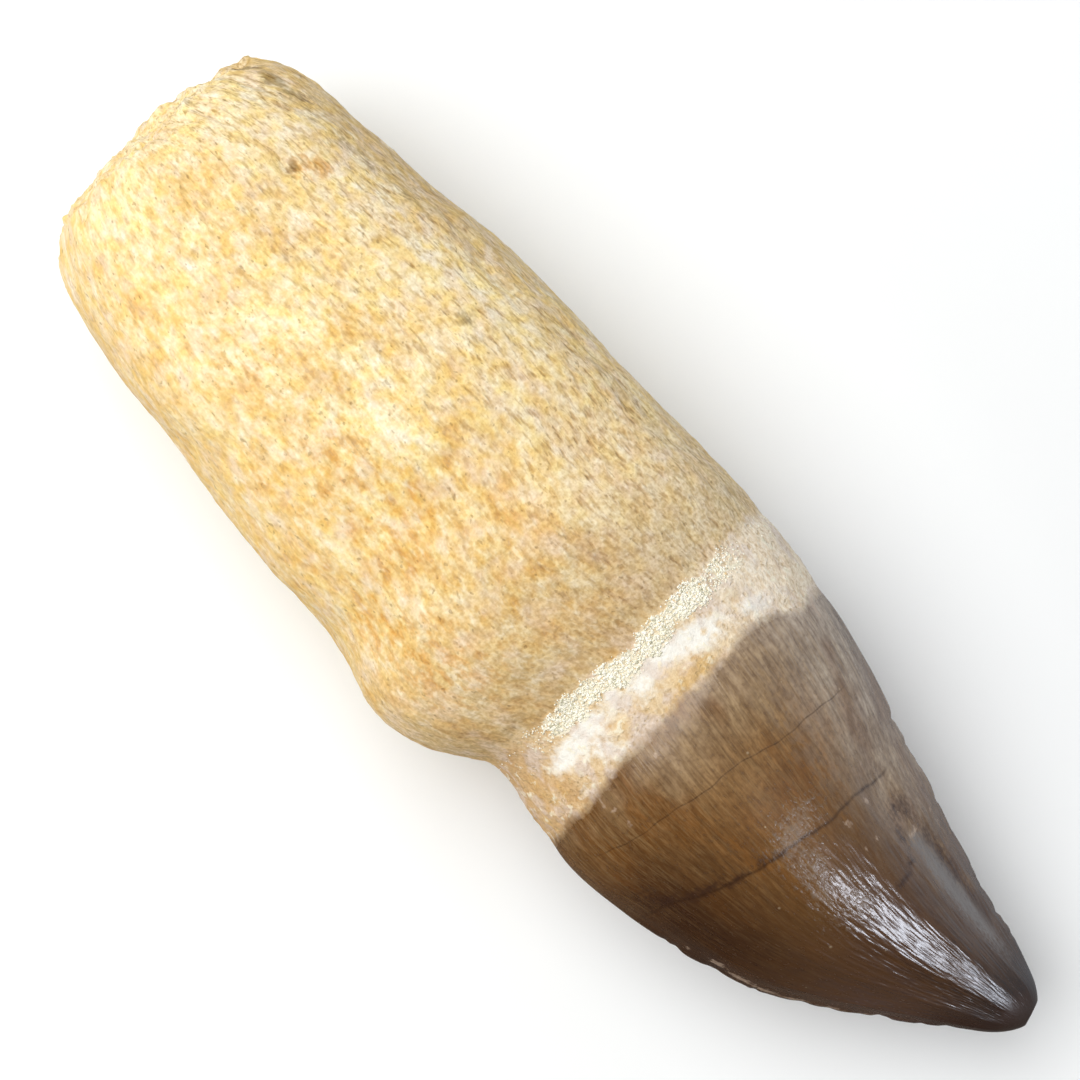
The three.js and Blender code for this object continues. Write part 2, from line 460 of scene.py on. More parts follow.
# Patches of colour that belong to one place: station, angle, half length, half width, strength.
colourPatches = {
    "chalk": [
        (42.5, 48, 3.0, 3.4, 0.8), (46.0, 45, 3.0, 2.4, 0.6), (78.5, 127, 1.2, 3.2, 1.3),
        (77.8, 119, 0.8, 2.0, 1.1), (79.2, 137, 1.2, 1.8, 1.0), (77.2, 107, 0.7, 1.2, 1.1),
        (80.9, 121, 1.1, 1.6, 0.95), (82.4, 115, 0.6, 1.3, 0.9), (77.6, 85, 0.9, 2.0, 1.0),
        (78.4, 75, 1.2, 3.4, 1.3), (79.6, 66, 1.1, 2.0, 1.0), (78.6, 98, 1.3, 2.4, 0.75),
        (81.3, 42, 1.0, 2.6, 0.9), (77.6, 40, 1.6, 3.2, 0.45), (80.3, 48, 0.7, 1.4, 0.8),
        (83.0, 137, 0.6, 0.8, 0.8), (79.3, 104, 2.2, 6.0, 0.32), (79.0, 82, 2.0, 6.0, 0.3),
        (79.5, 125, 2.2, 5.0, 0.3), (79.5, 55, 2.2, 5.0, 0.25), (81, 200, 1.5, 5.0, 1.0),
        (80, 255, 1.5, 6.0, 1.0), (81, 320, 1.5, 4.0, 0.9),
    ],
    "rust": [
        (16.6, 56, 1.6, 1.3, 0.9), (18.2, 51, 1.0, 1.0, 0.7), (80.3, 111, 1.1, 1.7, 1.0),
        (79.8, 85, 1.3, 2.2, 0.8), (81.7, 82, 0.8, 2.6, 1.15), (81.5, 74, 0.7, 1.8, 1.2),
        (79.1, 66, 0.45, 0.5, 1.3), (82.9, 162, 1.2, 1.0, 1.0), (79.7, 153, 3.0, 2.2, 0.7),
        (81.0, 144, 1.6, 2.0, 0.7), (78.4, 49, 1.6, 2.4, 0.45), (82.2, 91, 0.5, 1.8, 0.8),
        (50, 116, 6.0, 4.0, 0.35), (40, 108, 5.0, 4.0, 0.3), (28, 111, 4.0, 3.0, 0.3),
        (64, 130, 5.0, 5.0, 0.4), (56, 140, 5.0, 4.0, 0.4), (82, 230, 1.5, 3.0, 0.9),
        (81, 290, 1.5, 3.0, 0.8),
    ],
    "shade": [
        (3.4, 27, 1.6, 0.7, 1.2), (6.6, 31, 1.6, 0.6, 1.3), (9.4, 33, 2.0, 0.9, 0.8),
        (14, 38, 3.0, 0.8, 0.6), (20, 37, 3.0, 0.8, 0.6), (26, 37, 3.0, 0.9, 0.5),
        (39.6, 55, 1.2, 1.0, 0.8), (16.0, 58, 0.9, 0.8, 0.8), (2.5, 60, 1.5, 0.5, 0.5),
        (47, 30, 6.0, 1.2, 0.3), (58, 32, 6.0, 1.0, 0.3),
    ],
    # worn places on the enamel, where it has lost its polish; their grey tint is partly painted sheen
    "worn": [
        (99.6, 82, 2.0, 3.4, 0.75), (101.2, 93, 1.6, 3.0, 0.7), (104.6, 91, 2.4, 2.6, 0.75),
        (107.6, 96, 1.6, 1.6, 0.75), (111.0, 88, 2.4, 4.0, 0.6),
    ],
    # painted reflection: a grey sheen along the crown's +Y facet, where the polish shows the bright
    # surroundings
    "paintedSheen": [
        (111.0, 33, 1.2, 1.3, 0.8), (113.2, 30.5, 1.8, 1.3, 0.9), (115.4, 28.5, 1.8, 1.2, 0.9),
        (117.4, 26.5, 1.8, 1.15, 0.9), (119.4, 24.5, 2.0, 1.1, 0.9), (121.8, 22.5, 2.2, 1.1, 0.8),
        (124.4, 21, 2.2, 1.1, 0.6), (127.0, 20, 2.4, 1.0, 0.45),
    ],
    # dark patches in the enamel: stains, most of them along the second crack, and darkening round the tip; the
    # rows from station 107 to 123 on the +Y side are painted shade along the facets there
    "stainAndShade": [
        (97.4, 147, 0.7, 1.6, 1.1), (98.6, 138, 0.5, 1.8, 1.3), (99.2, 130, 0.45, 1.6, 1.3),
        (100.2, 119, 0.45, 1.6, 1.2), (100.6, 104, 0.5, 1.0, 0.9), (101.3, 97, 0.5, 1.0, 0.9),
        (102.0, 80, 0.4, 0.9, 0.8), (96.0, 152, 1.6, 1.6, 0.8), (105.6, 164, 0.5, 0.5, 1.0),
        (107.0, 35, 0.8, 0.9, 0.9), (109.5, 41, 1.4, 0.6, 0.9), (112.1, 47, 0.4, 0.9, 1.2),
        (112.8, 55, 0.3, 0.8, 1.2), (112.9, 62, 0.4, 0.8, 1.0), (111.9, 25, 1.2, 0.6, 0.9),
        (107.8, 29, 1.6, 0.8, 0.6), (114.4, 22, 1.6, 0.6, 0.9), (117.0, 19, 1.8, 0.6, 0.9),
        (120.0, 17, 1.8, 0.55, 0.8), (123.0, 15, 2.0, 0.5, 0.7), (130.0, 154, 3.4, 1.2, 1.0),
        (132.4, 70, 1.4, 2.4, 1.1), (134.4, 100, 1.4, 3.4, 1.4), (134.0, 20, 1.6, 2.6, 1.0),
    ],
    # pale chips in the enamel and crumbs of matrix left on it
    "chips": [
        (84.9, 22, 0.9, 0.5, 1.2), (86.2, 24, 0.9, 0.3, 1.2), (84.9, 108, 0.35, 0.35, 0.9),
        (85.0, 134, 0.9, 0.25, 0.8), (86.2, 132, 0.4, 0.4, 0.9), (88.2, 131, 0.5, 0.35, 0.7),
        (100.6, 42, 0.5, 0.4, 0.75), (103.9, 50, 0.55, 0.35, 1.1), (104.1, 65, 0.4, 0.4, 1.1),
        (107.5, 57, 0.35, 0.3, 0.8), (107.3, 65, 0.3, 0.25, 0.8), (110.4, 29, 0.6, 0.4, 0.75),
        (110.3, 34, 0.5, 0.6, 0.75), (110.5, 14, 0.5, 0.5, 0.75), (112.0, 13, 0.6, 0.4, 0.75),
        (100.0, 8, 0.6, 0.4, 0.7), (103.2, 168, 0.5, 0.5, 0.8), (106.6, 166, 1.0, 0.8, 1.0),
        (109.5, 169, 1.5, 0.65, 1.0), (112.5, 171, 1.4, 0.5, 0.95), (115.5, 172, 1.3, 0.4, 0.9),
        (119.0, 173, 1.4, 0.3, 0.8), (122.5, 173, 1.2, 0.25, 0.7),
    ],
}


def gritShare(station, angle):
    # thick on top, thinning out down the sides and underneath
    across = station - gritMiddle(angle)
    patchy = 0.7 + 0.3 * np.sin(np.radians(11 * angle + 50)) * np.sin(np.radians(29 * angle))
    reach = 1.3 + 0.25 * np.sin(np.radians(19 * angle)) + 0.2 * np.sin(np.radians(43 * angle + 60))
    band = 1 - smoothStep(np.abs(across), reach - 0.3, reach + 0.3)
    around = 0.03 + 0.97 * smoothStep(angle, 32, 60) * (1 - smoothStep(angle, 124, 142))
    return np.clip(band * patchy * around * 1.2, 0, 1)


# Slow changes of tone, worked out at the mesh's own points: how far each is drawn out along the
# tooth, and the size of its patches in mm. Each is read at a place of its own in the noise.
slowTones = {
    "zones": (1.8, 9.0),
    "patches": (1.5, 2.8),
    "pinkness": (1.2, 2.2),
    "amber": (1.8, 4.0),
    "cloud": (2.2, 5.0),
}
tonesApart = 31.7
toneContrast = 0.62
toneFractal = (1.0, 2.0, 3)  # increment, lacunarity and octaves
# Across the tooth, lengths are counted as if it were this far from its middle to its surface all
# along, so that the grain runs together towards the tip.
evenReach = 18


def slowTone(grain, drawnOut, size, start):
    places = grain / (drawnOut * size, size, size) + start
    tones = [noise.fractal(place, *toneFractal) for place in places.tolist()]
    return np.clip(0.5 + toneContrast * np.array(tones), 0, 1)


def storeNumber(mesh, name, values):
    attribute = mesh.attributes.new(name, "FLOAT", "POINT")
    attribute.data.foreach_set("value", values.astype(np.float32))


def storeVector(mesh, name, columns):
    attribute = mesh.attributes.new(name, "FLOAT_VECTOR", "POINT")
    attribute.data.foreach_set("vector", np.stack(columns, axis=1).astype(np.float32).ravel())


def storePlaces(piece, middles):
    # what the material reads: where each point is, and the fields that steer its patterns
    mesh = piece.data
    station, angle, radius = placeOnTooth(readVectors(mesh.vertices, "co"), middles)
    turn = np.radians(angle)
    reach = np.interp(station, middles[0], middles[1][:, 2]) / mm
    stretch = evenReach * radius / np.maximum(reach, 1.5)
    wrapped = [station, stretch * np.cos(turn), stretch * np.sin(turn)]
    storeVector(mesh, "grain", wrapped)
    for number, (name, rules) in enumerate(slowTones.items()):
        storeNumber(mesh, name, slowTone(np.stack(wrapped, axis=1), *rules, tonesApart * number))
    storeNumber(mesh, "pastMargin", station - enamelMargin(angle))
    storeNumber(mesh, "fromGrit", station - gritMiddle(angle))
    storeNumber(mesh, "gritShare", gritShare(station, angle))
    crackPlaces = [crackPlace(crack, station, angle) for crack in tooth["cracks"]]
    storeVector(mesh, "cracks", [away for away, _ in crackPlaces])
    storeVector(mesh, "crackShares", [share for _, share in crackPlaces])
    for name, rows in colourPatches.items():
        storeNumber(mesh, name, marksRelief(rows, station, angle, radius))


nodeKinds = {
    "attribute": "ShaderNodeAttribute",
    "background": "ShaderNodeBackground",
    "bump": "ShaderNodeBump",
    "cells": "ShaderNodeTexVoronoi",
    "coordinates": "ShaderNodeTexCoord",
    "mapping": "ShaderNodeMapping",
    "math": "ShaderNodeMath",
    "mix": "ShaderNodeMix",
    "noise": "ShaderNodeTexNoise",
    "output": "ShaderNodeOutputMaterial",
    "ramp": "ShaderNodeValToRGB",
    "remap": "ShaderNodeMapRange",
    "shader": "ShaderNodeBsdfPrincipled",
    "split": "ShaderNodeSeparateXYZ",
}


def hexColour(code):
    values = [int(code[k : k + 2], 16) / 255 for k in (0, 2, 4)]
    return [v / 12.92 if v <= 0.04045 else ((v + 0.055) / 1.055) ** 2.4 for v in values] + [1.0]


def addNode(tree, kind, inputs=None, stops=None, **settings):
    node = tree.nodes.new(nodeKinds.get(kind, kind))
    for name, value in settings.items():
        setattr(node, name, value)
    for key, value in (inputs or {}).items():
        named = (socket for socket in node.inputs if socket.enabled and socket.name == key)
        socket = node.inputs[key] if isinstance(key, int) else next(named)
        if isinstance(value, bpy.types.Node):
            value = next(output for output in value.outputs if output.enabled)
        if isinstance(value, bpy.types.NodeSocket):
            tree.links.new(value, socket)
        else:
            socket.default_value = hexColour(value) if socket.type == "RGBA" else value
    if stops:
        ramp = node.color_ramp
        while len(ramp.elements) < len(stops):
            ramp.elements.new(1)
        for element, (position, colour) in zip(ramp.elements, stops):
            element.position = position
            element.color = hexColour(colour)
    return node


def newMaterial(name):
    material = bpy.data.materials.new(name)
    material.use_nodes = True
    material.node_tree.nodes.clear()
    return material, material.node_tree


patternsApart = 7.3
patternRoughness = 0.62


def addPatterns(tree, fields, rows):
    # one mask for each row: a noise drawn out along the tooth, cut between two of its values
    for number, (name, (drawnOut, perMm, detail, low, high, most)) in enumerate(rows.items()):
        shift = (patternsApart * number, 0, 0)
        place = {"Vector": fields["grain"], "Scale": (1 / drawnOut, 1, 1), "Location": shift}
        along = addNode(tree, "mapping", place)
        grain = {"Vector": along, "Scale": perMm, "Detail": detail, "Roughness": patternRoughness}
        value = addNode(tree, "noise", grain)
        cut = {"Value": value, "From Min": low, "From Max": high, "To Max": most}
        fields[name] = addNode(tree, "remap", cut)


def addFields(tree, fields, rows):
    # Each row makes a field of what is already there. It starts as "of", each part of "plus" adds so
    # much of another field, "between" two of its values it goes from none to all, or as "gives" says,
    # "times" multiplies it, and "stops" turn it into colours.
    for name, row in rows.items():
        value = fields.get(row["of"], row["of"])
        for other, amount in row.get("plus", []):
            terms = {0: fields[other], 1: amount, 2: value}
            value = addNode(tree, "math", terms, operation="MULTIPLY_ADD")
        if "between" in row:
            ends = [fields.get(end, end) for end in (*row["between"], *row.get("gives", (0, 1)))]
            sockets = dict(zip(("From Min", "From Max", "To Min", "To Max"), ends))
            value = addNode(tree, "remap", {"Value": value, **sockets})
        for factor in row.get("times", []):
            factors = {0: value, 1: fields.get(factor, factor)}
            value = addNode(tree, "math", factors, operation="MULTIPLY")
        if "stops" in row:
            value = addNode(tree, "ramp", {"Fac": value}, stops=row["stops"])
        fields[name] = value


def addLayers(tree, fields, base, layers, blend="MIX"):
    colour = fields.get(base, base)
    for share, over in layers:
        inputs = {"Factor": fields[share], "A": colour, "B": fields.get(over, over)}
        colour = addNode(tree, "mix", inputs, data_type="RGBA", blend_type=blend)
    return colour


mottled = [("mottle", 2.5)]  # how ragged the borders along the root's sides are
crumbly = [("crumb", 0.8), ("cloudy", 0.7)]  # how the borders of the neck's patches crumble
# The looks of the tooth's three materials. Each pattern: how far it is drawn out along the tooth, how
# many of its blotches go to the mm, its detail, the two values it is cut between, and its greatest
# share. Of the fields, "station" counts along the tooth and "sideways" towards +Y, both in mm.
boneLook = {
    "patterns": {
        "mottle": (1.9, 1.2, 2, 0.30, 0.70, 1.0),
        "gold": (1.4, 0.75, 1, 0.34, 0.66, 0.9),
        "sand": (1.2, 2.6, 1, 0.34, 0.66, 1.0),
        "strokes": (2.6, 1.9, 1, 0.53, 0.70, 1.0),
        "gashes": (4.6, 2.3, 1, 0.58, 0.74, 1.0),
        "paleStrokes": (2.4, 1.4, 1, 0.56, 0.74, 1.0),
        "specks": (1.6, 2.2, 1, 0.66, 0.76, 0.45),
    },
    "fields": {
        "tone": {"of": 0.0, "plus": [("zones", 0.18), ("patches", 0.44), ("mottle", 0.34), ("sand", 0.04)]},
        "bone": {
            "of": "tone",
            "stops": [
                (0.24, "f8f2dc"), (0.38, "f2e4bc"), (0.50, "ecd5a4"), (0.62, "e6c78a"),
                (0.78, "dcaf6b"),
            ],
        },
        "farEnd": {"of": "station", "between": (52, 5), "gives": (0, 0.3)},
        "nearNeck": {"of": "station", "between": (48, 74), "gives": (0, 0.42)},
        "pinkNearNeck": {"of": "station", "between": (60, 74), "gives": (0, 0.7), "times": ["pinkness"]},
        "bleached": {"of": "sideways", "plus": mottled, "between": (2, 11), "gives": (0, 0.5)},
        # darker tan along the root's +Y flank, strongest towards the far end, and along its -Y edge: painted
        # shade where the sides turn away from the light
        "flankShare": {"of": "station", "between": (52, 28), "gives": (0.15, 0.6)},
        "flank": {"of": "sideways", "plus": mottled, "between": (14, 16.6), "gives": (0, "flankShare")},
        "farFlank": {"of": "sideways", "plus": mottled, "between": (-9, -16), "gives": (0, 0.5)},
        "pink": {"of": "pinkness", "between": (0.52, 0.8), "gives": (0, 0.5)},
        "pale": {"of": "station", "between": (60, 74), "gives": (0.5, 0.25), "times": ["paleStrokes"]},
        "rusty": {"of": "rust", "plus": [("mottle", 0.9)], "between": (0.75, 1.35), "gives": (0, 0.7)},
        "shaded": {"of": "shade", "plus": [("mottle", 0.9)], "between": (0.75, 1.35), "gives": (0, 0.7)},
        "chalky": {"of": "chalk", "plus": [("mottle", 0.9)], "between": (0.75, 1.35), "gives": (0, 0.7)},
        # the fine grain only darkens: faint on the worn -Y side and clear on the other
        "clearer": {"of": "sideways", "between": (-12, 12), "gives": (0.32, 0.54)},
        "clearStrokes": {"of": "strokes", "times": ["clearer"]},
        "clearSand": {"of": "station", "between": (52, 70), "gives": ("clearer", 0.8), "times": ["sand"]},
        "clearGold": {"of": "station", "between": (50, 72), "gives": (1, 0.45), "times": ["gold"]},
        "clearGashes": {"of": "sideways", "between": (-6, 8), "gives": (0, 0.6), "times": ["gashes"]},
        "height": {
            "of": 0.0,
            "plus": [
                ("tone", -0.1), ("clearSand", -0.03), ("clearStrokes", -0.07), ("clearGashes", -0.09),
                ("specks", -0.07),
            ],
        },
    },
    "base": "bone",
    "layers": [
        ("farEnd", "fbf5e3"),
        ("nearNeck", "c39f6a"),
        ("pinkNearNeck", "c7ae92"),
        ("bleached", "f2ead6"),
        # painted shade on the root's two sides
        ("flank", "cdb284"),
        ("farFlank", "dfc596"),
        ("pink", "ecd9c6"),
        ("pale", "fbf5e2"),
        ("rusty", "d69c48"),
        ("shaded", "85754f"),
        ("chalky", "e9e3cf"),
        ("specks", "8a6d43"),
    ],
    "darker": [
        ("clearGold", "fff1bc"), ("clearSand", "d7cdb8"), ("clearStrokes", "c6b38f"),
        ("clearGashes", "bba179"),
    ],
}
neckLook = {
    "patterns": {
        "crumb": (1.1, 1.2, 3, 0.32, 0.68, 1.0),
        "cloudy": (0.9, 0.5, 2, 0.34, 0.66, 1.0),
        "grains": (1.2, 2.6, 1, 0.34, 0.68, 0.8),
        "strands": (3.5, 1.7, 2, 0.45, 0.75, 0.55),
        "speck": (1.0, 1.7, 1, 0.6, 0.7, 0.6),
    },
    "fields": {
        "pink": {"of": "pinkness", "between": (0.45, 0.7), "gives": (0, 0.8)},
        "tan": {"of": "patches", "between": (0.58, 0.8), "gives": (0, 0.6)},
        "farSide": {"of": "sideways", "plus": [("crumb", -4.0)], "between": (-12, -17), "gives": (0, 0.75)},
        "pale": {"of": "sideways", "plus": [("cloudy", 4.0)], "between": (6, 13), "gives": (0, 0.75)},
        "white": {"of": "chalk", "plus": crumbly, "between": (1.0, 2.15), "gives": (0, 0.95)},
        "rusty": {"of": "rust", "plus": crumbly, "between": (1.1, 2.0), "gives": (0, 0.75)},
        "matrix": {"of": "gritShare", "plus": crumbly, "between": (1.0, 1.4), "gives": (0, 0.85)},
        "mauve": {"of": "pinkness", "between": (0.5, 0.74), "gives": (0, 0.6)},
        "notWhite": {"of": "white", "between": (0, 0.7), "gives": (0.8, 0.15)},
        "clearSpeck": {"of": "speck", "times": ["notWhite"]},
        "clearGrains": {"of": "grains", "times": ["notWhite"]},
        "height": {"of": 0.0, "plus": [("crumb", 0.09), ("clearGrains", -0.04), ("clearSpeck", -0.1)]},
    },
    "base": "dfcba9",
    "layers": [
        ("pink", "d9c7b9"),
        ("tan", "c69f68"),
        ("farSide", "c69f68"),
        ("pale", "f6efe2"),
        ("strands", "c3a37c"),
        ("white", "ebece9"),
        ("mauve", "d8ccc4"),
        ("rusty", "d5b375"),
        ("clearSpeck", "b59d70"),
        ("matrix", "ebe8d6"),
    ],
    "darker": [("clearGrains", "dccfb6")],
}
enamelLook = {
    "patterns": {
        "bands": (8.0, 1.5, 1, 0.36, 0.66, 1.0),
        "stria": (14.0, 3.2, 1, 0.50, 0.68, 1.0),
        "fineStria": (7.0, 7.0, 0, 0.48, 0.66, 1.0),
        "darkDash": (12.0, 3.0, 1, 0.52, 0.68, 1.0),
        "blotch": (1.6, 1.2, 2, 0.34, 0.66, 1.0),
        "wrinkles": (3.8, 1.45, 0.6, 0.3, 0.7, 1.0),
        "crackle": (1.3, 2.2, 1, 0.3, 0.7, 1.0),
    },
    "fields": {
        # the brown deepens from the margin to the tip, in its own way on top, on -Y and on +Y; the -Y ramp is
        # partly painted shade and the +Y ramp partly painted reflection
        "along": {"of": "pastMargin", "plus": [("cloud", 6.0)], "between": (2, 54)},
        "alongTop": {
            "of": "along",
            "stops": [
                (0.0, "b3a08a"), (0.10, "ac9372"), (0.20, "99764c"), (0.32, "886034"),
                (0.48, "644523"), (0.66, "4a3120"), (0.84, "34241d"), (1.0, "1d1719"),
            ],
        },
        "alongDark": {
            "of": "along",
            "stops": [
                (0.0, "967c5d"), (0.08, "81603a"), (0.16, "65411f"), (0.30, "3c220f"),
                (0.44, "352014"), (0.60, "4d382b"), (0.79, "504140"), (1.0, "272126"),
            ],
        },
        "alongGreyer": {
            "of": "along",
            "stops": [
                (0.0, "c4b7a8"), (0.12, "baad9c"), (0.26, "c7b9a8"), (0.40, "b6a48e"),
                (0.58, "6e5d4f"), (0.76, "443a37"), (1.0, "202126"),
            ],
        },
        # darker towards -Y: partly the enamel's own colour, partly painted shade on the side that gets little
        # light
        "darkSide": {"of": "sideways", "between": (-2, -14)},
        # greyer and paler towards +Y: partly the enamel's own colour, partly a painted reflection of the
        # bright +Y surroundings
        "greyerSide": {"of": "sideways", "plus": [("blotch", 3.0)], "between": (7.5, 14.5)},
        "greyerSideOut": {"of": "pastMargin", "between": (42, 30)},
        "greyerSideMottle": {"of": "pastMargin", "between": (8, 22), "gives": (0, "greyerSide"), "times": ["greyerSideOut"]},
        "mauve": {"of": "patches", "between": (0.48, 0.72), "gives": (0, 0.45), "times": ["greyerSideMottle"]},
        "ochre": {"of": "pinkness", "between": (0.5, 0.78), "gives": (0, 0.5), "times": ["greyerSideMottle"]},
        "fade": {"of": "pastMargin", "between": (6, 34), "gives": (1, 0)},
        "amberHere": {"of": "amber", "between": (0.5, 0.85), "gives": (0, 0.75), "times": ["fade"]},
        "bandTint": {"of": "bands", "times": [0.43]},
        "blotchTint": {"of": "blotch", "times": [0.46]},
        "crackleTint": {"of": "crackle", "times": [0.3]},
        "striaHere": {"of": "stria", "times": ["fade"]},
        "striaTint": {"of": "striaHere", "times": [0.2]},
        "fineTint": {"of": "fineStria", "times": ["fade", 0.12]},
        "dashTint": {"of": "darkDash", "times": ["fade", 0.27]},
        "umberOut": {"of": "pastMargin", "between": (34, 22)},
        "umberReach": {"of": "pastMargin", "between": (7, 15), "gives": (0, "umberOut")},
        "umber": {
            "of": "sideways",
            "plus": [("bands", -4.0)],
            "between": (-7, -17),
            "gives": (0, 0.62),
            "times": ["umberReach"],
        },
        "unpolished": {"of": "worn", "plus": [("crackle", 0.9)], "between": (0.85, 1.65)},
        # grey of the worn places: partly their own colour, partly painted sheen
        "wornTintAndSheen": {"of": "unpolished", "times": [0.3]},
        # painted reflection: the grey sheen along the +Y facet
        "paintedSheenHere": {"of": "paintedSheen", "plus": [("crackle", 0.5)], "between": (0.5, 1.3), "gives": (0, 0.75)},
        "tip": {"of": "station", "between": (125, 134), "gives": (0, 0.8)},
        # stains, together with painted shade along the +Y facets
        "stainAndShadeHere": {"of": "stainAndShade", "plus": [("crackle", 0.7)], "between": (0.5, 1.4), "gives": (0, 0.8)},
        "speckSize": {"of": "speckChance", "between": (0.6, 1.0), "gives": (0, 0.1)},
        "speck": {"of": "speckDistance", "between": ("speckSize", 0.0), "gives": (0, 0.6)},
        "chip": {"of": "chips", "plus": [("crackle", 0.5)], "between": (0.6, 1.0), "gives": (0, 0.7)},
        "crack": {"of": "blotch", "between": (0, 1), "gives": (0.45, 0.95), "times": ["crackLine"]},
        "towardsTip": {"of": "pastMargin", "between": (12, 26)},
        "awayFromTip": {"of": "station", "between": (131, 120), "gives": (0.3, 1)},
        "wrinklesHere": {"of": "wrinkles", "times": ["towardsTip", "awayFromTip"]},
        "wornPits": {"of": "crackle", "times": ["unpolished"]},
        "dullTip": {"of": "station", "between": (131, 134), "gives": (0, 0.2)},
        "height": {
            "of": 0.0,
            "plus": [
                ("striaHere", 0.012), ("wrinklesHere", 0.045), ("crackle", 0.004), ("wornPits", 0.03),
                ("crackLine", -0.012), ("speck", 0.03), ("chip", 0.03),
            ],
        },
    },
    "base": "alongTop",
    "layers": [
        ("darkSide", "alongDark"),
        ("greyerSide", "alongGreyer"),
        ("mauve", "7d6a62"),
        ("ochre", "957a58"),
        ("amberHere", "784b18"),
        ("bandTint", "573a1c"),
        ("blotchTint", "573a1c"),
        ("crackleTint", "573a1c"),
        ("striaTint", "ab9066"),
        ("fineTint", "ab9066"),
        ("dashTint", "3f2812"),
        ("umber", "2f180c"),
        ("wornTintAndSheen", "9c8c78"),
        ("paintedSheenHere", "7a7a7c"),
        ("tip", "17181e"),
        ("stainAndShadeHere", "382319"),
        ("speck", "cdbda0"),
        ("chip", "b39d8a"),
        ("crack", "36200f"),
    ],
    "darker": [],
}
toothLook = {
    "speckCells": 0.42,  # to the mm, and few of them hold a speck
    "cracks": [(0.13, 0.65), (0.3, 0.85), (0.17, 0.9)],  # half width and strength of each dark line
    "lineCore": 0.02,
    "fray": {"Scale": 1.1, "Detail": 3, "Roughness": 0.7},  # how ragged the materials' borders are
    "borders": {
        "isEnamel": {"of": "pastMargin", "plus": [("fray", 1.6)], "between": (0.4, 1.7)},
        "isNeck": {"of": "fromGrit", "plus": [("fray", 2.5)], "between": (-0.6, 0.6)},
    },
    "boneRoughness": 0.88,
    "enamelRoughness": 0.27,
    "wornRoughness": 0.5,
    "ior": 1.54,
}


def addFinish(tree, fields, look):
    # colour of one of the tooth's materials, and its fields, of which height is in mm
    fields = dict(fields)
    addPatterns(tree, fields, look["patterns"])
    addFields(tree, fields, look["fields"])
    colour = addLayers(tree, fields, look["base"], look["layers"])
    return addLayers(tree, fields, colour, look["darker"], "MULTIPLY"), fields


def crackLines(tree):
    # the cracks' own thin dark lines, each from its distance along the tooth
    places, strengths = (
        addNode(tree, "split", {"Vector": addNode(tree, "attribute", attribute_name=name).outputs["Vector"]})
        for name in ("cracks", "crackShares")
    )
    line = 0.0
    for k, (halfWidth, strength) in enumerate(toothLook["cracks"]):
        away = addNode(tree, "math", {0: places.outputs[k]}, operation="ABSOLUTE")
        ends = {"From Min": halfWidth, "From Max": toothLook["lineCore"], "To Max": strength}
        near = addNode(tree, "remap", {"Value": away, **ends})
        line = addNode(tree, "math", {0: near, 1: strengths.outputs[k], 2: line}, operation="MULTIPLY_ADD")
    return line


def mineralisedTooth():
    # Permineralised bone, dentine and enamel. The root is bone filled with sand and phosphate, so
    # it is matt and pitted along its grain; the crown's enamel kept its polish over dark dentine.
    material, tree = newMaterial("mineralisedTooth")
    names = ["pastMargin", "fromGrit", "gritShare", *colourPatches, *slowTones]
    fields = {name: addNode(tree, "attribute", attribute_name=name).outputs["Fac"] for name in names}
    fields["grain"] = addNode(tree, "attribute", attribute_name="grain").outputs["Vector"]
    wrapped = addNode(tree, "split", {"Vector": fields["grain"]})
    fields["station"] = wrapped.outputs["X"]
    fields["sideways"] = wrapped.outputs["Y"]
    fields["crackLine"] = crackLines(tree)
    metres = addNode(tree, "coordinates").outputs["Object"]
    place = addNode(tree, "mapping", {"Vector": metres, "Scale": (1 / mm, 1 / mm, 1 / mm)})
    cells = addNode(tree, "cells", {"Vector": place, "Scale": toothLook["speckCells"], "Randomness": 1.0})
    fields["speckDistance"] = cells.outputs["Distance"]
    fields["speckChance"] = addNode(tree, "split", {"Vector": cells.outputs["Color"]})
    fields["fray"] = addNode(tree, "noise", {"Vector": place, **toothLook["fray"]})
    addFields(tree, fields, toothLook["borders"])

    bone, onBone = addFinish(tree, fields, boneLook)
    neck, onNeck = addFinish(tree, fields, neckLook)
    enamel, onEnamel = addFinish(tree, fields, enamelLook)

    fields.update({"neck": neck, "enamel": enamel})
    colour = addLayers(tree, fields, bone, [("isNeck", "neck"), ("isEnamel", "enamel")])
    neckOver = {"Factor": fields["isNeck"], "A": onBone["height"], "B": onNeck["height"]}
    height = addNode(tree, "mix", neckOver)
    enamelOver = {"Factor": fields["isEnamel"], "A": height, "B": onEnamel["height"]}
    height = addNode(tree, "mix", enamelOver)
    bump = addNode(tree, "bump", {"Height": height, "Strength": 1.0, "Distance": mm})
    dull = {0: onEnamel["unpolished"], 1: onEnamel["dullTip"]}
    dullness = addNode(tree, "math", dull, operation="MAXIMUM")
    ends = {"To Min": toothLook["enamelRoughness"], "To Max": toothLook["wornRoughness"]}
    gloss = addNode(tree, "remap", {"Value": dullness, **ends})
    shine = {"Factor": fields["isEnamel"], "A": toothLook["boneRoughness"], "B": gloss}
    roughness = addNode(tree, "mix", shine)
    surface = {"Base Color": colour, "Roughness": roughness, "Normal": bump, "IOR": toothLook["ior"]}
    addNode(tree, "output", {"Surface": addNode(tree, "shader", surface)})
    return material


fossilTooth = carveTooth()
fossilTooth.data.materials.append(mineralisedTooth())
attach(fossilTooth, "root")
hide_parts("tooth")
print("tooth carved")


